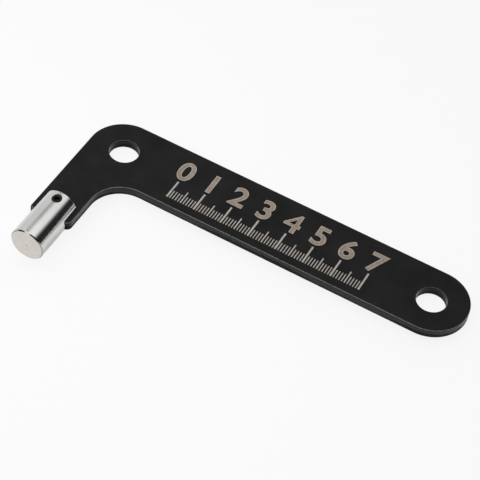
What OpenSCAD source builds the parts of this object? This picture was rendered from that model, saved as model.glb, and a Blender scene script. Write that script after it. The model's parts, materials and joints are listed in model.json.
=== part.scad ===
// Hub tool: a flat L-shaped plate whose short arm carries a slotted drive pin, clamped by a set screw.
// Millimetres, +Z up. The origin is on the drive pin's axis, halfway along its free round length.
// The pin's free end points along -Y, the handle runs along +X, and the set screw is on the +Z side.

/* [Plate] */
// Thickness of the plate
plate_t = 3.4; // [2.5:0.1:4.5]
// Width of the handle, which also sets its round end and the outer corner
handle_w = 25; // [20:0.5:32]
// Distance between the centres of the two holes
hole_spacing = 113.3; // [80:0.1:160]
// Diameter of the hole in the corner
corner_hole_d = 10; // [5:0.5:14]
// Diameter of the hole in the handle's round end
hang_hole_d = 10; // [5:0.5:14]
// Width of the short arm
arm_w = 14.6; // [12:0.1:18]
// Distance from the corner hole's centre to the arm's end
arm_reach = 37.2; // [35:0.1:50]
// Radius of the fillet in the inner corner
inner_r = 11.3; // [3:0.1:13]
// Radius of the corner at the arm's end on the outside of the L
outer_corner_r = 0.4; // [0.2:0.1:3]
// Radius of the corner at the arm's end on the inside of the L
inner_corner_r = 2; // [0.4:0.1:3]

/* [Drive pin] */
// Diameter of the pin
pin_d = 12; // [11:0.1:14]
// Free round length of the pin, from the bottom of its slot to its tip
drive_length = 12.9; // [8:0.1:25]
// Depth of the slot that straddles the arm
slot_depth = 7.6; // [6.5:0.1:10]
// Chamfer round the free end
tip_chamfer = 0.4; // [0.1:0.05:0.6]
// Chamfer round the slotted end
jaw_chamfer = 0.2; // [0.1:0.05:0.6]
// Taper of the jaws, on the radius, which keeps them inside the pin's diameter when the screw spreads them
jaw_relief = 0.05; // [0.02:0.01:0.1]

/* [Set screw] */
// Outer diameter of the screw's thread, which the solids leave out
thread_d = 4; // [3.8:0.1:4.5]
// Pitch of the thread: the hole is drilled this much smaller than the thread
thread_pitch = 0.7; // [0.5:0.05:0.75]
// Distance from the pin's slotted end to the screw's axis
screw_setback = 3.1; // [2.6:0.1:4.5]
// Depth of the screw's top face below the crown of the pin
screw_recess = 0.18; // [0.15:0.01:0.8]
// Hexagon socket, across flats
socket_af = 2; // [1.3:0.1:2]
// Depth of the hexagon's flats
socket_depth = 1.6; // [1:0.1:2]
// Depth of the drilled cone below the flats
socket_cone = 0.4; // [0.2:0.05:0.6]
// Chamfer round the screw's top
screw_chamfer = 0.3; // [0.1:0.05:0.3]
// Depth of the hollow in the screw's cup point
cup_depth = 0.3; // [0.1:0.05:0.4]
// Depth of the countersink at the mouth of the screw's hole
countersink = 0.2; // [0.05:0.05:0.4]

/* [Clearances] */
// Gap between the arm and each jaw of the pin
slot_clearance = 0.05; // [0.02:0.01:0.2]
// Gap between the arm's end and the bottom of the slot
slot_end_gap = 0.3; // [0.1:0.05:0.6]
// Gap all round the screw in its hole
screw_clearance = 0.03; // [0.02:0.01:0.08]
// Gap between the screw's point and the plate
point_gap = 0.02; // [0.01:0.01:0.05]

/* [Hidden] */
$fn = 96;
// How far a cut runs past the face that it opens
past = 1;

pin_r = pin_d / 2;
tip_y = -drive_length / 2;
slot_bottom_y = drive_length / 2;
jaw_end_y = slot_bottom_y + slot_depth;
slot_h = plate_t + 2 * slot_clearance;

arm_end_y = slot_bottom_y + slot_end_gap;
hole_y = arm_end_y + arm_reach;
corner_hole_x = (handle_w - arm_w) / 2;
hang_hole_x = corner_hole_x + hole_spacing;
outer_r = handle_w / 2;
inner_edge_y = hole_y - outer_r;

// The screw's solid is as wide as the drill for its hole
screw_r = (thread_d - thread_pitch) / 2;
screw_y = jaw_end_y - screw_setback;
screw_point_z = plate_t / 2 + point_gap;
screw_top_z = pin_r - screw_recess;
screw_length = screw_top_z - screw_point_z;
screw_bore_r = screw_r + screw_clearance;
// The cup point's rim is half as wide as the thread, and its flank slopes at 45 degrees
cup_r = thread_d / 4;
point_taper = screw_r - cup_r;

// What lies between a square corner at the origin and its rounding, run on past both edges
module corner_waste(radius) {
    difference() {
        translate([-past, -past]) square(radius + past);
        translate([radius, radius]) circle(radius);
    }
}

module plate_outline() {
    difference() {
        union() {
            translate([-arm_w / 2, inner_edge_y]) square([hang_hole_x + arm_w / 2, handle_w]);
            translate([hang_hole_x, hole_y]) circle(outer_r);
            translate([-arm_w / 2, arm_end_y]) square([arm_w, arm_reach]);
            translate([arm_w / 2, inner_edge_y]) mirror([0, 1]) corner_waste(inner_r);
        }
        translate([-arm_w / 2, hole_y + outer_r]) mirror([0, 1]) corner_waste(outer_r);
        translate([-arm_w / 2, arm_end_y]) corner_waste(outer_corner_r);
        translate([arm_w / 2, arm_end_y]) mirror([1, 0]) corner_waste(inner_corner_r);
        translate([corner_hole_x, hole_y]) circle(d = corner_hole_d);
        translate([hang_hole_x, hole_y]) circle(d = hang_hole_d);
    }
}

// Half section of the pin: radius, then distance from the tip
module pin_profile() {
    length = drive_length + slot_depth;
    jaw_end_r = pin_r - jaw_relief;
    polygon([
        [0, 0],
        [pin_r - tip_chamfer, 0],
        [pin_r, tip_chamfer],
        [pin_r, drive_length],
        [jaw_end_r, length - jaw_chamfer],
        [jaw_end_r - jaw_chamfer, length],
        [0, length]
    ]);
}

// Half section of the screw: radius, then height above its point
module screw_profile() {
    polygon([
        [0, cup_depth],
        [cup_r, 0],
        [screw_r, point_taper],
        [screw_r, screw_length - screw_chamfer],
        [screw_r - screw_chamfer, screw_length],
        [0, screw_length]
    ]);
}

module arm_slot() {
    translate([-pin_d, slot_bottom_y, -slot_h / 2]) cube([2 * pin_d, slot_depth + past, slot_h]);
}

// Hole in the upper jaw, from inside the slot to past the crown, with its countersink
module screw_hole() {
    translate([0, screw_y, 0]) {
        cylinder(h = pin_r + past, r = screw_bore_r);
        translate([0, 0, pin_r - countersink])
            cylinder(h = countersink + past, r1 = screw_bore_r, r2 = screw_bore_r + countersink + past);
    }
}

module hex_socket() {
    translate([0, 0, screw_length - socket_depth])
        cylinder(h = socket_depth + past, d = socket_af / cos(30), $fn = 6);
    translate([0, 0, screw_length - socket_depth - socket_cone])
        cylinder(h = socket_cone, r1 = 0, r2 = socket_af / 2);
}

module handle_plate() {
    color([0.145, 0.145, 0.145])
        linear_extrude(height = plate_t, center = true) plate_outline();
}

module drive_pin() {
    color([0.80, 0.80, 0.78])
        difference() {
            translate([0, tip_y, 0]) rotate([-90, 0, 0]) rotate_extrude() pin_profile();
            arm_slot();
            screw_hole();
        }
}

module set_screw() {
    color([0.08, 0.08, 0.085])
        translate([0, screw_y, screw_point_z])
            difference() {
                rotate_extrude() screw_profile();
                hex_socket();
            }
}

handle_plate();
drive_pin();
set_screw();
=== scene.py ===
"""Looks of the hub tool: a black coated plate, a bright slotted drive pin and a black set screw.

Everything is in metres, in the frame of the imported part. The shapes are worked out from the boxes of the
solids and the mounts in the record, with a few finishing sizes that the frame doesn't give.
"""
import json
import math

import bmesh
import bpy
from mathutils import Matrix, Vector


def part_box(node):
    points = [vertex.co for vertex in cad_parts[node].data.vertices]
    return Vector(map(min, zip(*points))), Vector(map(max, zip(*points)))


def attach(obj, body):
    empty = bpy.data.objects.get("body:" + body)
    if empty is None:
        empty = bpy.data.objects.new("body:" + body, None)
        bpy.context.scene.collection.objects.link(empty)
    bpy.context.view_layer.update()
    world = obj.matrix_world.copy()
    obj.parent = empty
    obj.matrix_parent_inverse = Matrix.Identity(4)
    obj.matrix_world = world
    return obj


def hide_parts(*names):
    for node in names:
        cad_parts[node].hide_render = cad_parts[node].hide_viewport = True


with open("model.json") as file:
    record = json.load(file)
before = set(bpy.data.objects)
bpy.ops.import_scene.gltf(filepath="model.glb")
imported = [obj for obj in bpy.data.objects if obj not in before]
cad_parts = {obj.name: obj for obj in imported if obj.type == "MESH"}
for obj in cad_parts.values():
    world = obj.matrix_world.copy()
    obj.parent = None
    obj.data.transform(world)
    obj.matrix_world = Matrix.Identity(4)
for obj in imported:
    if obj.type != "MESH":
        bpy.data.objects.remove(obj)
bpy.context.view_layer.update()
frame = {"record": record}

MM = 0.001

# Sizes that the frame gives
mounts = {mount["name"]: mount for mount in frame["record"]["mounts"]}
plate_low, plate_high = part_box("handle_plate")
pin_low, pin_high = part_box("drive_pin")
screw_low, screw_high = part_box("set_screw")
corner_hole = Vector(mounts["corner_hole"]["pos_m"])
hang_hole = Vector(mounts["hang_hole"]["pos_m"])
corner_hole_r = mounts["corner_hole"]["dims"]["r_mm"] * MM
hang_hole_r = mounts["hang_hole"]["dims"]["r_mm"] * MM
outer_r = plate_high.y - hang_hole.y
inner_edge_y = hang_hole.y - outer_r
arm_half = -plate_low.x
pin_r = mounts["drive_pin"]["dims"]["r_mm"] * MM
slot_bottom_y = -pin_low.y
screw_axis = Vector(mounts["set_screw_socket"]["pos_m"])
screw_r = (screw_high.x - screw_low.x) / 2

# Sizes shared with the solids
INNER_R = 11.3 * MM
OUTER_CORNER_R = 0.4 * MM
INNER_CORNER_R = 2.0 * MM
TIP_CHAMFER = 0.4 * MM
JAW_CHAMFER = 0.2 * MM
JAW_RELIEF = 0.05 * MM
SLOT_CLEARANCE = 0.05 * MM
SCREW_CLEARANCE = 0.03 * MM
COUNTERSINK = 0.2 * MM
SCREW_CHAMFER = 0.3 * MM
SOCKET_AF = 2.0 * MM
SOCKET_DEPTH = 1.6 * MM
SOCKET_CONE = 0.4 * MM
CUP_DEPTH = 0.3 * MM
THREAD_R = 2.0 * MM
THREAD_PITCH = 0.7 * MM

# Finishing sizes
ROLL_WIDTH = 2.2 * MM
ROLL_DROP = 0.03 * MM
HOLE_ROLL_WIDTH = 1.1 * MM
EDGE_ROUND = 0.15 * MM
# Half the width of the rim's lightening, which is partly wear and partly a painted highlight
EDGE_WEAR_AND_HIGHLIGHT = 0.06 * MM
EDGE_BREAK = 0.12 * MM
FRACTURE_INSET = 0.04 * MM
TORN_HEIGHT = -0.35 * MM
TORN_WAVES = 0.5 * MM, 0.2 * MM, 0.1 * MM
TORN_WAVE_LENGTHS = 71 * MM, 23 * MM, 4.3 * MM
SOFT_EDGE = 0.06 * MM
SLOT_FLARE = 0.1 * MM
PIP_R = 0.3 * MM
PIP_DEPTH = 0.12 * MM
SOCKET_MOUTH_R = 1.27 * MM
SOCKET_MOUTH_SLOPE = 0.6

# How finely the meshes are divided
OUTLINE_STEP = 0.8 * MM
CORNER_STEPS = 12
FILLET_STEPS = 32
QUARTER_STEPS = 36
HOLE_STEPS = 96
ROLL_STEPS = 6
ROUND_STEPS = 5
SOFT_STEPS = 3
PIN_SEGMENTS = 256
SCREW_SEGMENTS = 120
ROWS_PER_TURN = 16

# Width of the flat strip beside each rim, which keeps the faces evenly shaded up to it
SUPPORT = 0.35 * MM
# Points closer than this become one
WELD = 0.0005 * MM
# Share of a round corner's radius that the insets of its edge may take
ROOM_SHARE = 0.8
# How far the slot's cutters reach from the pin's axis, in radii of the pin
CUTTER_REACH = 1.5
# A face of the pin whose normal has less Z than this isn't on the crown
CROWN_NORMAL_Z = 0.9

# The finishes of each piece, by their places in its list of materials
COAT, TORN, OUTER_WALL, SHADED_HOLE_WALL = range(4)
GROUND, TURNED, CHAMFER, TAPPED = range(4)
FILL, LINE = range(2)

# The etched scale on the handle, whose marks each have a length and half a width
SCALE_START = 27 * MM
SCALE_STEP = 1 * MM
SCALE_STEPS = 70
SCALE_MARGIN = 3.2 * MM
STEP_MARK = 3.4 * MM, 0.17 * MM
FIVE_MARK = 5.2 * MM, 0.22 * MM
TEN_MARK = 7.6 * MM, 0.32 * MM
NUMERAL_GAP = 1.4 * MM
NUMERAL_SIZE = 11.4 * MM
NUMERAL_WEIGHT = 0.28 * MM
NUMERAL_BORDER = 0.26 * MM
MARK_HEIGHT = 0.02 * MM
FILL_RISE = 0.004 * MM

# The photograph's camera, on its 480 by 480 frame
IMAGE_SIZE = 480
FOCAL_PIXELS = 1856.15
SENSOR = 36
CAMERA_AZIMUTH = math.radians(22.92)
CAMERA_ELEVATION = math.radians(49.28)
CAMERA_ROLL = math.radians(8.23)
CAMERA_DISTANCE = 594.7 * MM
CAMERA_TARGET = Vector((55.4, 33.04, 0)) * MM

# The studio's walls and ceiling: degrees from overhead towards +X, and brightness there
STUDIO_WALLS = (-90, 0.86), (-50, 0.86), (-27, 0.49), (-5, 1.05), (21, 1.08), (47, 0.025), (90, 0.018)

# The floor's own colour, what is added to it where it is seen, and half its width
FLOOR_COLOUR = 0.13
FLOOR_LIFT = 0.875
FLOOR_HALF = 2.5

# The shade on the floor under the arm's end, as metal shows it
SHADE_MIDDLE = Vector((8, 4, 0)) * MM
SHADE_LEVEL = 0.68
SHADE_CORE = 3 * MM
SHADE_REACH = 13 * MM

SHARP_ANGLE = math.radians(35)
TURN = 2 * math.pi


# Mesh helpers

def skin(bm, rings):
    """Joins a stack of closed rings of points with faces. A ring of one point is a pole."""
    made = [[bm.verts.new(point) for point in ring] for ring in rings]
    for low, high in zip(made, made[1:]):
        count = max(len(low), len(high))
        for i in range(count):
            j = (i + 1) % count
            corners = low[i % len(low)], low[j % len(low)], high[j % len(high)], high[i % len(high)]
            bm.faces.new(list(dict.fromkeys(corners)))
    return made


def ring_edges(bm, rings):
    """The edges that run round each of the given rings of vertices."""
    return [bm.edges.get(pair) for ring in rings for pair in zip(ring, ring[1:] + ring[:1])]


def arc(centre, radius, start, end, steps):
    """Points of an arc and, for each, the direction away from the metal and the room for an inset.

    A clockwise arc is hollow, so it has more room than any inset needs.
    """
    hollow = end < start
    room = 2 * outer_r if hollow else ROOM_SHARE * radius
    for i in range(steps + 1):
        angle = math.radians(start + (end - start) * i / steps)
        spoke = Vector((math.cos(angle), math.sin(angle), 0))
        away = -spoke if hollow else spoke
        yield Vector((centre[0], centre[1], 0)) + spoke * radius, away, room


def softened(points, reach):
    """A profile with each of its inner corners rounded over the given reach."""
    made = [Vector(points[0])]
    for before, corner, after in zip(points, points[1:], points[2:]):
        before, corner, after = Vector(before), Vector(corner), Vector(after)
        start = corner + (before - corner).normalized() * reach
        end = corner + (after - corner).normalized() * reach
        for i in range(SOFT_STEPS + 1):
            share = i / SOFT_STEPS
            rest = 1 - share
            made.append(start * rest ** 2 + corner * 2 * share * rest + end * share ** 2)
    made.append(Vector(points[-1]))
    return made


def lathe(profile, place, segments):
    """Rings of a turned shape. The profile holds radius and distance along the axis."""
    for radius, along in profile:
        count = segments if radius > 0 else 1
        yield [place(radius, TURN * i / count, along) for i in range(count)]


def round_y(radius, angle, along):
    """A point round the pin's axis."""
    return Vector((radius * math.cos(angle), along, -radius * math.sin(angle)))


def round_screw(radius, angle, along):
    """A point round the set screw's axis."""
    return Vector((radius * math.cos(angle), screw_axis.y + radius * math.sin(angle), along))


def prism(bm, outline, step, finish=0):
    """A closed prism over a flat outline, which is carried along the step, with its finish by number."""
    first = len(bm.faces)
    foot, head = skin(bm, [outline, [point + step for point in outline]])
    bm.faces.new(list(reversed(foot)))
    bm.faces.new(head)
    bm.faces.ensure_lookup_table()
    for face in bm.faces[first:]:
        face.material_index = finish


def new_object(name, data):
    made = bpy.data.objects.new(name, data)
    bpy.context.collection.objects.link(made)
    return made


def finished(name, bm, *materials):
    """An object from a bmesh, smooth except where its faces meet at a sharp angle."""
    bmesh.ops.recalc_face_normals(bm, faces=bm.faces)
    for face in bm.faces:
        face.smooth = True
    for edge in bm.edges:
        edge.smooth = edge.calc_face_angle(0) < SHARP_ANGLE
    mesh = bpy.data.meshes.new(name)
    bm.to_mesh(mesh)
    bm.free()
    for material in materials:
        mesh.materials.append(material)
    return new_object(name, mesh)


# Material helpers

def node(tree, kind, inputs=None, **properties):
    """Adds a node. Its inputs take either values or the sockets that feed them."""
    made = tree.nodes.new(kind)
    for key, value in properties.items():
        setattr(made, key, value)
    for key, value in (inputs or {}).items():
        if isinstance(value, bpy.types.NodeSocket):
            tree.links.new(value, made.inputs[key])
        else:
            made.inputs[key].default_value = value
    return made


def new_material(name, **settings):
    """A material with its node tree and its shader, whose even values are set here."""
    material = bpy.data.materials.new(name)
    material.use_nodes = True
    shader = material.node_tree.nodes["Principled BSDF"]
    for key, value in settings.items():
        shader.inputs[key.replace("_", " ")].default_value = value
    return material, material.node_tree, shader


def feed(tree, shader, **sockets):
    for key, socket in sockets.items():
        tree.links.new(socket, shader.inputs[key.replace("_", " ")])


def place_of(tree, stretch=(1, 1, 1)):
    """Places on the piece in metres, stretched along the axes."""
    place = node(tree, "ShaderNodeTexCoord").outputs["Object"]
    return node(tree, "ShaderNodeMapping", {"Vector": place, "Scale": stretch}).outputs["Vector"]


def noise(tree, place, scale, detail):
    inputs = {"Vector": place, "Scale": scale, "Detail": detail}
    return node(tree, "ShaderNodeTexNoise", inputs).outputs["Fac"]


def spread(tree, value, low, high, start=0.3, end=0.7):
    """Carries a value between start and end, where noise mostly is, over to a range from low to high."""
    inputs = {"Value": value, "From Min": start, "From Max": end, "To Min": low, "To Max": high}
    return node(tree, "ShaderNodeMapRange", inputs).outputs["Result"]


def math_of(tree, operation, first, second):
    return node(tree, "ShaderNodeMath", {0: first, 1: second}, operation=operation).outputs[0]


def mixed(tree, factor, first, second):
    """A colour between two colours, each given as three numbers or as a socket."""
    factor_in, first_in, second_in, colour_out = 0, 6, 7, 2
    inputs = {factor_in: factor}
    for place, colour in ((first_in, first), (second_in, second)):
        inputs[place] = colour if isinstance(colour, bpy.types.NodeSocket) else (*colour, 1)
    return node(tree, "ShaderNodeMix", inputs, data_type="RGBA").outputs[colour_out]


def bump(tree, height, distance, strength, under=None):
    inputs = {"Height": height, "Distance": distance, "Strength": strength}
    if under is not None:
        inputs["Normal"] = under
    return node(tree, "ShaderNodeBump", inputs).outputs["Normal"]


# Materials

def black_coat():
    """Thin matt black coating on the plate's faces, with fine grain and faint clouds."""
    material, tree, shader = new_material("black_coat", Specular_IOR_Level=0.03)
    place = place_of(tree)
    grain = noise(tree, place, scale=4200, detail=4)
    clouds = noise(tree, place, scale=140, detail=5)
    dark, light = (0.0182, 0.0182, 0.0183), (0.0262, 0.0261, 0.026)
    colour = mixed(tree, spread(tree, clouds, 0, 1), dark, light)
    roughness = math_of(tree, "ADD", spread(tree, clouds, 0.34, 0.42), spread(tree, grain, -0.03, 0.05))
    normal = bump(tree, grain, distance=0.006 * MM, strength=0.5)
    feed(tree, shader, Base_Color=colour, Roughness=roughness, Normal=normal)
    return material


def sheared_edge(name, gloss, bare_and_highlight):
    """The upper part of the plate's punched walls: smeared and streaked, and lighter along the rim, partly
    where the coat wore away to metal and partly as a painted highlight of the rounded edge.
    """
    material, tree, shader = new_material(name, Specular_IOR_Level=gloss)
    place = place_of(tree)
    height = node(tree, "ShaderNodeSeparateXYZ", {0: place}).outputs["Z"]
    # Along the rim the colour is lightened: partly wear through the coat, partly a painted highlight of the
    # rounded edge.
    rim_foot = plate_high.z - ROLL_DROP - EDGE_ROUND
    worn_and_highlit = spread(tree, height, 0, 1, start=rim_foot - EDGE_WEAR_AND_HIGHLIGHT, end=rim_foot + EDGE_WEAR_AND_HIGHLIGHT)
    patches = noise(tree, place, scale=700, detail=4)
    rubbed_and_highlit = math_of(tree, "MULTIPLY", worn_and_highlit, spread(tree, patches, 0.5, 1))
    streaks = noise(tree, place_of(tree, (1, 1, 0.05)), scale=1500, detail=3)
    dark, light = (0.003, 0.003, 0.003), (0.024, 0.0236, 0.023)
    coated = mixed(tree, spread(tree, streaks, 0, 1), dark, light)
    colour = mixed(tree, rubbed_and_highlit, coated, bare_and_highlight)
    roughness = spread(tree, streaks, 0.16, 0.3)
    normal = bump(tree, streaks, distance=0.02 * MM, strength=0.6)
    feed(tree, shader, Base_Color=colour, Roughness=roughness, Normal=normal)
    return material


def torn_edge():
    """The lower part of the plate's punched walls, where the metal broke away: rough and dull."""
    material, tree, shader = new_material("torn_edge", Specular_IOR_Level=0.08)
    place = place_of(tree)
    grain = noise(tree, place, scale=2600, detail=4)
    ridges = noise(tree, place_of(tree, (1, 1, 0.25)), scale=1300, detail=3)
    dark, light = (0.006, 0.006, 0.006), (0.02, 0.0198, 0.0195)
    colour = mixed(tree, spread(tree, ridges, 0, 1), dark, light)
    roughness = spread(tree, grain, 0.38, 0.55)
    ridged = bump(tree, ridges, distance=0.03 * MM, strength=0.5)
    normal = bump(tree, grain, distance=0.02 * MM, strength=0.5, under=ridged)
    feed(tree, shader, Base_Color=colour, Roughness=roughness, Normal=normal)
    return material


def bright_steel():
    """Ground steel with faint stains. Its fine lines run round the pin, so reflections blur along it."""
    material, tree, shader = new_material(
        "bright_steel", Metallic=1.0, Anisotropic=0.5, Anisotropic_Rotation=0.25)
    lines = noise(tree, place_of(tree, (0.03, 1, 0.03)), scale=5200, detail=3)
    stains = noise(tree, place_of(tree, (1, 0.25, 1)), scale=420, detail=4)
    dark, light = (0.61, 0.606, 0.599), (0.67, 0.666, 0.659)
    colour = mixed(tree, spread(tree, stains, 0, 1), dark, light)
    roughness = math_of(tree, "ADD", spread(tree, stains, 0.165, 0.215), spread(tree, lines, -0.02, 0.03))
    normal = bump(tree, lines, distance=0.0015 * MM, strength=0.6)
    around = node(tree, "ShaderNodeTangent", direction_type="RADIAL", axis="Y").outputs["Tangent"]
    feed(tree, shader, Base_Color=colour, Roughness=roughness, Normal=normal, Tangent=around)
    return material


def turned_steel():
    """The pin's free end: turned, so its lines run round the middle, with a warm tarnish in patches."""
    material, tree, shader = new_material("turned_steel", Metallic=1.0)
    place = place_of(tree)
    rings = node(tree, "ShaderNodeTexWave", {"Vector": place, "Scale": 2600, "Distortion": 0.6},
                 wave_type="RINGS", rings_direction="Y").outputs["Fac"]
    patches = noise(tree, place, scale=500, detail=4)
    dark, light, pip_dark = (0.62, 0.59, 0.545), (0.69, 0.665, 0.62), (0.15, 0.14, 0.125)
    clean = mixed(tree, spread(tree, patches, 0, 1), dark, light)
    # Darker towards the small pip at the middle of the free end.
    from_axis = node(tree, "ShaderNodeVectorMath", {0: place_of(tree, (1, 0, 1))}, operation="LENGTH")
    pip_darkening = spread(tree, from_axis.outputs["Value"], 0.9, 0, start=PIP_R / 2, end=PIP_R)
    colour = mixed(tree, pip_darkening, clean, pip_dark)
    roughness = math_of(tree, "ADD", spread(tree, patches, 0.28, 0.36), spread(tree, rings, -0.02, 0.04))
    normal = bump(tree, rings, distance=0.002 * MM, strength=0.5)
    feed(tree, shader, Base_Color=colour, Roughness=roughness, Normal=normal)
    return material


def dull_shaded_steel(name, dark, light):
    """Steel as the tool left it, neither ground nor polished, between two levels, which are set darker than
    the steel itself to paint in shade.
    """
    material, tree, shader = new_material(name, Metallic=1.0)
    place = place_of(tree)
    grain = noise(tree, place, scale=3000, detail=3)
    colour = mixed(tree, spread(tree, grain, 0, 1), (dark, dark, dark), (light, light, light))
    roughness = spread(tree, grain, 0.16, 0.24)
    normal = bump(tree, grain, distance=0.001 * MM, strength=0.5)
    feed(tree, shader, Base_Color=colour, Roughness=roughness, Normal=normal)
    return material


def black_oxide():
    """Blackened screw steel with a slightly lighter bloom."""
    material, tree, shader = new_material("black_oxide", Specular_IOR_Level=0.35)
    place = place_of(tree)
    grain = noise(tree, place, scale=6000, detail=3)
    bloom = noise(tree, place, scale=1500, detail=4)
    dark, light = (0.006, 0.006, 0.0063), (0.013, 0.0125, 0.012)
    colour = mixed(tree, spread(tree, bloom, 0, 1), dark, light)
    roughness = spread(tree, bloom, 0.32, 0.46)
    normal = bump(tree, grain, distance=0.004 * MM, strength=0.5)
    feed(tree, shader, Base_Color=colour, Roughness=roughness, Normal=normal)
    return material


def etched_steel(name, dark, light):
    """Bare plate where the coating was burnt away: dull, and blotched between two colours."""
    material, tree, shader = new_material(name, Specular_IOR_Level=0.3)
    place = place_of(tree)
    grain = noise(tree, place, scale=3800, detail=4)
    blotches = noise(tree, place, scale=900, detail=4)
    pitted = (0.16, 0.135, 0.115)
    smooth = mixed(tree, spread(tree, blotches, 0, 1), dark, light)
    colour = mixed(tree, spread(tree, grain, 0.35, 0), smooth, pitted)
    roughness = spread(tree, grain, 0.5, 0.65)
    normal = bump(tree, grain, distance=0.006 * MM, strength=0.6)
    feed(tree, shader, Base_Color=colour, Roughness=roughness, Normal=normal)
    return material


# Pieces

def plate_outline():
    """The plate's outline, anticlockwise from the arm's end."""
    arm_end_y = plate_low.y
    outer_corner = OUTER_CORNER_R - arm_half, arm_end_y + OUTER_CORNER_R
    inner_corner = arm_half - INNER_CORNER_R, arm_end_y + INNER_CORNER_R
    return [
        *arc(outer_corner, OUTER_CORNER_R, 180, 270, CORNER_STEPS),
        *arc(inner_corner, INNER_CORNER_R, 270, 360, CORNER_STEPS),
        *arc((arm_half + INNER_R, inner_edge_y - INNER_R), INNER_R, 180, 90, FILLET_STEPS),
        *arc(hang_hole, outer_r, -90, 90, 2 * QUARTER_STEPS),
        *arc(corner_hole, outer_r, 90, 180, QUARTER_STEPS),
    ]


def hole_outline(centre, radius):
    """A hole's outline, clockwise."""
    return list(arc(centre, radius, 360, 0, HOLE_STEPS))[:-1]


def divided(outline):
    """An outline whose long straight sides have points in between, which face as their start does."""
    made = []
    for (point, away, room), (after, _, room_after) in zip(outline, outline[1:] + outline[:1]):
        count = math.ceil((after - point).length / OUTLINE_STEP)
        for i in range(count):
            share = i / count
            made.append((point.lerp(after, share), away, room + (room_after - room) * share))
    return made


def torn_from(outline):
    """Heights at which the torn part of the wall begins, which waver along the outline."""
    heights, travelled = [], 0
    for (point, _, _), (after, _, _) in zip(outline, outline[1:] + outline[:1]):
        waves = zip(TORN_WAVES, TORN_WAVE_LENGTHS)
        waver = sum(size * math.sin(TURN * travelled / length) for size, length in waves)
        heights.append(TORN_HEIGHT + waver)
        travelled += (after - point).length
    return heights


def plate_section(roll_width):
    """Inset and height of the plate's edge, from its top face to the foot of its sheared wall."""
    section = [(roll_width + SUPPORT, plate_high.z)]
    for i in range(ROLL_STEPS):
        share = i / ROLL_STEPS
        drop = ROLL_DROP * share ** 2
        section.append((roll_width - (roll_width - EDGE_ROUND) * share, plate_high.z - drop))
    for i in range(ROUND_STEPS + 1):
        angle = math.pi / 2 * i / ROUND_STEPS
        drop = ROLL_DROP + EDGE_ROUND * (1 - math.cos(angle))
        section.append((EDGE_ROUND * (1 - math.sin(angle)), plate_high.z - drop))
    return section


def fitted(inset, room, widest):
    """An inset, drawn in where the widest one of its section is more than a tight corner has room for."""
    if inset <= EDGE_ROUND or widest <= room:
        return inset
    return EDGE_ROUND + (inset - EDGE_ROUND) * (room - EDGE_ROUND) / (widest - EDGE_ROUND)


def plate_edge(bm, outline, roll_width, sheared):
    """The plate's edge along an outline, whose rim and upper wall take the sheared finish, by its number.

    Gives its first ring, on the top face, and its last, on the bottom.
    """
    section = plate_section(roll_width)
    widest = section[0][0]
    count = len(outline)

    def ring(inset, heights):
        return [
            point - away * fitted(inset, room, widest) + Vector((0, 0, height))
            for (point, away, room), height in zip(outline, heights)
        ]

    rings = [ring(inset, [height] * count) for inset, height in section]
    rings.append(ring(0, torn_from(outline)))
    for inset, height in (
        (FRACTURE_INSET, plate_low.z + EDGE_BREAK),
        (FRACTURE_INSET + EDGE_BREAK, plate_low.z),
        (FRACTURE_INSET + EDGE_BREAK + SUPPORT, plate_low.z),
    ):
        rings.append(ring(inset, [height] * count))
    finishes = [COAT] * (ROLL_STEPS + 1) + [sheared] * (ROUND_STEPS + 1) + [TORN, COAT, COAT]
    first = len(bm.faces)
    made = skin(bm, rings)
    bm.faces.ensure_lookup_table()
    for i, face in enumerate(bm.faces[first:]):
        face.material_index = finishes[i // count]
    return made[0], made[-1]


def handle_plate(coat, torn, outer_wall, shaded_hole_wall):
    """The plate: its outer edge, the edges of its two holes, and the faces between them."""
    bm = bmesh.new()
    edges = [
        plate_edge(bm, divided(outline), roll_width, sheared)
        for outline, roll_width, sheared in (
            (plate_outline(), ROLL_WIDTH, OUTER_WALL),
            (hole_outline(corner_hole, corner_hole_r), HOLE_ROLL_WIDTH, SHADED_HOLE_WALL),
            (hole_outline(hang_hole, hang_hole_r), HOLE_ROLL_WIDTH, SHADED_HOLE_WALL),
        )
    ]
    for rings in zip(*edges):
        bmesh.ops.triangle_fill(bm, use_beauty=True, edges=ring_edges(bm, rings))
    return finished("plate_body", bm, coat, torn, outer_wall, shaded_hole_wall)


def cut(body, bm):
    """Takes a closed shape out of a piece."""
    tool = finished("cutter", bm)
    modifier = body.modifiers.new("cut", "BOOLEAN")
    modifier.operation = "DIFFERENCE"
    modifier.solver = "EXACT"
    modifier.object = tool
    result = bpy.data.meshes.new_from_object(body.evaluated_get(bpy.context.evaluated_depsgraph_get()))
    body.modifiers.clear()
    body.data = result
    bpy.data.objects.remove(tool)


def slot_cutters():
    """The slot between the jaws, then the same slot flared at the jaws' end and along their sides."""
    half = plate_high.z + SLOT_CLEARANCE
    reach = pin_r * CUTTER_REACH
    lip_x = math.sqrt(pin_r ** 2 - half ** 2) - SLOT_FLARE
    flare = reach - lip_x
    across = [(-reach, half + flare), (-lip_x, half), (lip_x, half), (reach, half + flare)]
    across += [(x, -z) for x, z in reversed(across)]
    yield [Vector((x, slot_bottom_y, z)) for x, z in across], Vector((0, reach + pin_high.y, 0))
    lip_y = pin_high.y - SLOT_FLARE
    along = [(lip_y, half), (lip_y + reach, half + reach), (lip_y + reach, -half - reach), (lip_y, -half)]
    yield [Vector((-reach, y, z)) for y, z in along], Vector((2 * reach, 0, 0))


def in_screw_hole(face):
    """Whether a face of the pin is on the wall of the screw's hole."""
    mouth_r = screw_r + SCREW_CLEARANCE + COUNTERSINK + JAW_RELIEF
    off_axis = (face.calc_center_median() - screw_axis).xy.length
    return off_axis < mouth_r and abs(face.normal.z) < CROWN_NORMAL_Z


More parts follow.
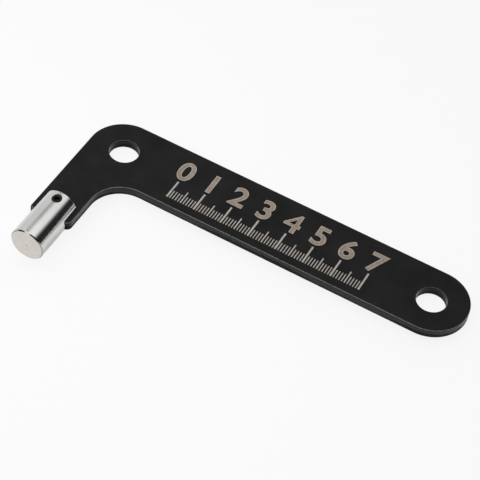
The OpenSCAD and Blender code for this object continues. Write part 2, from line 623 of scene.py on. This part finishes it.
def pin_finish(face):
    """The finish of a face of the turned pin: its free end, the chamfer round that, or its side."""
    tip = pin_low.y
    centre = face.calc_center_median()
    if centre.y < tip + SOFT_EDGE / 4 or centre.xz.length < PIP_R:
        return TURNED
    if centre.y < tip + TIP_CHAMFER:
        return CHAMFER
    return GROUND


def drive_pin(ground, turned, chamfer, tapped):
    """The turned pin, out of which its slot, the flare of its lips and its tapped hole are cut."""
    tip, end = pin_low.y, pin_high.y
    jaw_r = pin_r - JAW_RELIEF
    profile = softened([
        (0, tip + PIP_DEPTH),
        (PIP_R, tip),
        (pin_r - TIP_CHAMFER, tip),
        (pin_r, tip + TIP_CHAMFER),
        (pin_r, slot_bottom_y),
        (jaw_r, end - JAW_CHAMFER),
        (jaw_r - JAW_CHAMFER, end),
        (0, end),
    ], SOFT_EDGE)
    bm = bmesh.new()
    skin(bm, lathe(profile, round_y, PIN_SEGMENTS))
    for face in bm.faces:
        face.material_index = pin_finish(face)
    body = finished("pin_body", bm, ground, turned, chamfer, tapped)
    for outline, step in slot_cutters():
        bm = bmesh.new()
        prism(bm, outline, step)
        cut(body, bm)
    cut(body, screw_hole())
    bm = bmesh.new()
    bm.from_mesh(body.data)
    bpy.data.objects.remove(body)
    bmesh.ops.remove_doubles(bm, verts=bm.verts, dist=WELD)
    bmesh.ops.dissolve_verts(bm, verts=[vert for vert in bm.verts if len(vert.link_edges) == 2])
    bm.normal_update()
    for face in filter(in_screw_hole, bm.faces):
        face.material_index = TAPPED
    return finished("pin_body", bm, ground, turned, chamfer, tapped)


def thread_radius(angle, height):
    """Radius of the screw's right-hand thread, whose proportions are those of a metric thread."""
    crest, flank, depth = 1 / 8, 5 / 16, 0.6134
    phase = ((height - screw_low.z) / THREAD_PITCH - angle / TURN) % 1
    fall = min((phase - crest) / flank, (1 - phase) / flank)
    return THREAD_R - depth * THREAD_PITCH * max(0, min(1, fall))


def screw_rings(start, end, radius_of):
    """Rings round the screw's axis, close enough for the thread, with radius_of(angle, height)."""
    rows = math.ceil(ROWS_PER_TURN * (end - start) / THREAD_PITCH)
    angles = [TURN * i / SCREW_SEGMENTS for i in range(SCREW_SEGMENTS)]
    for row in range(rows + 1):
        height = start + (end - start) * row / rows
        yield [round_screw(radius_of(angle, height), angle, height) for angle in angles]


def screw_hole():
    """A cutter for the tapped hole in the upper jaw, from inside the slot to above the crown."""
    bore_r = screw_r + SCREW_CLEARANCE
    mouth_z = pin_r - JAW_RELIEF - COUNTERSINK
    start, end = plate_high.z / 2, pin_r + THREAD_PITCH
    thread_top_z = mouth_z - THREAD_PITCH / 3

    def radius_of(angle, height):
        thread_r = min(thread_radius(angle, height) + SCREW_CLEARANCE, bore_r + thread_top_z - height)
        return max(bore_r, bore_r + height - mouth_z, thread_r)

    bm = bmesh.new()
    foot, crown = round_screw(0, 0, start), round_screw(0, 0, end)
    skin(bm, [[foot], *screw_rings(start, end, radius_of), [crown]])
    return bm


def socket_radius(angle):
    """Radius of the hexagon socket in a direction."""
    sixth = math.pi / 3
    off_flat = (angle + sixth / 2) % sixth - sixth / 2
    return SOCKET_AF / 2 / math.cos(off_flat)


def set_screw(oxide):
    """A socket set screw: cup point, thread, chamfered top, and a hexagon socket with a conical mouth."""
    point, top = screw_low.z, screw_high.z
    floor_z = top - SOCKET_DEPTH

    def outside(angle, height):
        point_r = THREAD_R / 2 + height - point
        top_r = screw_r - SCREW_CHAMFER + top - height
        return min(point_r, top_r, thread_radius(angle, height))

    def mouth_foot(angle):
        return top - (SOCKET_MOUTH_R - socket_radius(angle)) * SOCKET_MOUTH_SLOPE

    rings = [[round_screw(0, 0, point + CUP_DEPTH)], *screw_rings(point, top, outside)]
    angles = [TURN * i / SCREW_SEGMENTS for i in range(SCREW_SEGMENTS)]
    rings.append([round_screw(SOCKET_MOUTH_R, angle, top) for angle in angles])
    rings.append([round_screw(socket_radius(angle), angle, mouth_foot(angle)) for angle in angles])
    rings.append([round_screw(socket_radius(angle), angle, floor_z) for angle in angles])
    rings.append([round_screw(0, 0, floor_z - SOCKET_CONE)])
    bm = bmesh.new()
    skin(bm, rings)
    return finished("screw_body", bm, oxide)


def numeral(text, weight, height, place, finish):
    """A flat solid numeral as a mesh, with the middle of its foot on the place and its finish by number."""
    curve = bpy.data.curves.new("numeral", "FONT")
    curve.body = text
    curve.size = NUMERAL_SIZE
    curve.offset = weight
    curve.extrude = height / 2
    curve.align_x = "CENTER"
    holder = new_object("numeral", curve)
    mesh = bpy.data.meshes.new_from_object(holder.evaluated_get(bpy.context.evaluated_depsgraph_get()))
    bpy.data.objects.remove(holder)
    mesh.transform(Matrix.Translation(place))
    for face in mesh.polygons:
        face.material_index = finish
    return mesh


def scale_marks(fill, line):
    """A plain scale along the handle: a line for each step, longer ones for fives and tens, and numbers.

    The numbers are traced with a line first and then filled.
    """
    foot = inner_edge_y + SCALE_MARGIN
    base = plate_high.z - MARK_HEIGHT / 2
    bm = bmesh.new()
    for i in range(SCALE_STEPS + 1):
        x = SCALE_START + i * SCALE_STEP
        length, half = STEP_MARK
        if i % 5 == 0:
            length, half = FIVE_MARK
        if i % 10 == 0:
            length, half = TEN_MARK
            text = str(i // 10)
            place = Vector((x, foot + length + NUMERAL_GAP, plate_high.z))
            bm.from_mesh(numeral(text, NUMERAL_WEIGHT, MARK_HEIGHT, place, LINE))
            fill_place = place + Vector((0, 0, MARK_HEIGHT / 2))
            fill_weight = NUMERAL_WEIGHT - NUMERAL_BORDER
            bm.from_mesh(numeral(text, fill_weight, 2 * FILL_RISE, fill_place, FILL))
        outline = [(x - half, foot), (x + half, foot), (x + half, foot + length), (x - half, foot + length)]
        prism(bm, [Vector((*corner, base)) for corner in outline], Vector((0, 0, MARK_HEIGHT)), LINE)
    bmesh.ops.remove_doubles(bm, verts=bm.verts, dist=WELD)
    return finished("scale_marks", bm, fill, line)


# Stage, light and camera

def seen_white(tree):
    """How white the floor is: fully to the camera, less in metal or glass under the arm's end.

    It is nought to the light that falls on the tool.
    """
    path = node(tree, "ShaderNodeLightPath").outputs
    mirrored = math_of(tree, "MAXIMUM", path["Is Glossy Ray"], path["Is Transmission Ray"])
    inputs = {0: place_of(tree, (1, 1, 0)), 1: SHADE_MIDDLE}
    apart = node(tree, "ShaderNodeVectorMath", inputs, operation="DISTANCE").outputs["Value"]
    shade = spread(tree, apart, SHADE_LEVEL, 1, start=SHADE_CORE, end=SHADE_REACH)
    shaded = math_of(tree, "MULTIPLY", mirrored, shade)
    return math_of(tree, "MAXIMUM", path["Is Camera Ray"], shaded)


def floor():
    """A white floor under the tool as it lies: on the handle's back edge and the end of the lower jaw."""
    back_y, back_z = plate_high.y, plate_low.z
    jaw_y, jaw_z = pin_high.y, JAW_RELIEF - pin_r
    slope = math.atan2(back_z - jaw_z, back_y - jaw_y)
    bm = bmesh.new()
    bmesh.ops.create_grid(bm, x_segments=1, y_segments=1, size=FLOOR_HALF)
    turn = Matrix.Rotation(slope, 4, "X")
    bmesh.ops.transform(bm, matrix=Matrix.Translation((0, back_y, back_z)) @ turn, verts=bm.verts)
    grey, white = (FLOOR_COLOUR, FLOOR_COLOUR, FLOOR_COLOUR, 1), (1, 1, 1, 1)
    material, tree, shader = new_material(
        "floor_white", Base_Color=grey, Roughness=0.9, Specular_IOR_Level=0, Emission_Color=white)
    feed(tree, shader, Emission_Strength=math_of(tree, "MULTIPLY", seen_white(tree), FLOOR_LIFT))
    made = finished("floor", bm, material)


def facing(origin, target):
    """The turn of a lamp that shines from one place towards another."""
    return (target - origin).to_track_quat("-Z", "Y")


def direction(azimuth, elevation):
    """A direction by its angle from +Y towards +X and its angle above the horizon, in degrees."""
    turn, lift = math.radians(azimuth), math.radians(elevation)
    return Vector((math.sin(turn) * math.cos(lift), math.cos(turn) * math.cos(lift), math.sin(lift)))


def softbox(name, azimuth, elevation, distance, width, height, radiance, aim=Vector((0, 0, 0))):
    """An area lamp of even brightness that faces the place where it is aimed."""
    lamp = bpy.data.lights.new(name, "AREA")
    lamp.shape = "RECTANGLE"
    lamp.size, lamp.size_y = width, height
    lamp.energy = radiance * math.pi * width * height
    made = new_object(name, lamp)
    made.location = aim + direction(azimuth, elevation) * distance
    made.rotation_mode = "QUATERNION"
    made.rotation_quaternion = facing(made.location, aim)
    made.visible_camera = False


def light():
    """A studio lit from its far side: a white horizon, a pale patch before the pin's end, and two lamps."""
    world = bpy.data.worlds.new("studio")
    bpy.context.scene.world = world
    world.use_nodes = True
    tree = world.node_tree
    place = node(tree, "ShaderNodeTexCoord").outputs["Generated"]
    axes = node(tree, "ShaderNodeSeparateXYZ", {0: place}).outputs
    around = math_of(tree, "ARCTAN2", axes["X"], axes["Z"])
    share = spread(tree, around, 0, 1, start=-math.pi / 2, end=math.pi / 2)
    walls = node(tree, "ShaderNodeValToRGB", {0: share})
    walls.color_ramp.interpolation = "EASE"
    stops = walls.color_ramp.elements
    for lean, _ in STUDIO_WALLS[1:-1]:
        stops.new((lean + 90) / 180)
    for stop, (_, brightness) in zip(stops, STUDIO_WALLS):
        stop.color = (brightness, brightness, brightness, 1)
    from_far = spread(tree, axes["Y"], 0.03, 1, start=-0.15, end=0.35)
    glow = math_of(tree, "MULTIPLY", walls.outputs["Color"], from_far)
    pale_foot = spread(tree, axes["Z"], 1, 0, start=0.04, end=0.1)
    pale_front = spread(tree, axes["Y"], 0.6, 0, start=-0.98, end=-0.88)
    strength = math_of(tree, "MAXIMUM", glow, math_of(tree, "MAXIMUM", pale_foot, pale_front))
    feed(tree, tree.nodes["Background"], Strength=strength)
    tree.nodes["Background"].inputs["Color"].default_value = (1, 1, 1, 1)
    softbox("top_box", azimuth=270, elevation=78, distance=0.22, width=0.2, height=0.4, radiance=1.25,
            aim=Vector((-25, -22, 0)) * MM)
    softbox("front_box", azimuth=202, elevation=34, distance=0.5, width=0.24, height=0.2, radiance=1.95)


def camera():
    """The photograph's camera."""
    level = Vector((math.cos(CAMERA_AZIMUTH), math.sin(CAMERA_AZIMUTH), 0))
    out = Vector((level.y, -level.x, 0))
    back = out * math.cos(CAMERA_ELEVATION) + Vector((0, 0, math.sin(CAMERA_ELEVATION)))
    upright = back.cross(level)
    right = level * math.cos(CAMERA_ROLL) + upright * math.sin(CAMERA_ROLL)
    up = upright * math.cos(CAMERA_ROLL) - level * math.sin(CAMERA_ROLL)
    data = bpy.data.cameras.new("camera")
    data.sensor_width = SENSOR
    data.lens = SENSOR * FOCAL_PIXELS / IMAGE_SIZE
    data.clip_start = CAMERA_DISTANCE / 10
    made = new_object("camera", data)
    turn = Matrix((right, up, back)).transposed().to_4x4()
    made.matrix_world = Matrix.Translation(CAMERA_TARGET + back * CAMERA_DISTANCE) @ turn
    bpy.context.scene.camera = made


bpy.context.scene.view_settings.view_transform = "Standard"
camera()
floor()
light()

outer_wall = sheared_edge("sheared_edge", gloss=0.26, bare_and_highlight=(0.36, 0.353, 0.342))
# The hole walls take a darker copy of this finish, with a dimmer rim and less gloss: painted shade inside
# the holes.
shaded_hole_wall = sheared_edge("shaded_hole_edge", gloss=0.15, bare_and_highlight=(0.17, 0.167, 0.162))
plate = handle_plate(black_coat(), torn_edge(), outer_wall, shaded_hole_wall)
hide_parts("handle_plate")
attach(plate, "handle_plate")

etched_fill = etched_steel("etched_fill", dark=(0.355, 0.28, 0.212), light=(0.53, 0.416, 0.325))
etched_line = etched_steel("etched_line", dark=(0.575, 0.516, 0.456), light=(0.71, 0.652, 0.593))
marks = scale_marks(etched_fill, etched_line)
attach(marks, "handle_plate")

# The chamfer's steel is darker than the pin's: partly its duller turned finish, partly painted shade of the
# floor that it reflects.
dull_shaded_chamfer_steel = dull_shaded_steel("dull_shaded_chamfer_steel", dark=0.35, light=0.41)
# The tapped hole's steel is far darker than steel is: painted shade inside the hole.
shaded_tapped_steel = dull_shaded_steel("shaded_tapped_steel", dark=0.05, light=0.09)
pin = drive_pin(bright_steel(), turned_steel(), dull_shaded_chamfer_steel, shaded_tapped_steel)
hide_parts("drive_pin")
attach(pin, "drive_pin")

screw = set_screw(black_oxide())
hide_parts("set_screw")
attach(screw, "set_screw")
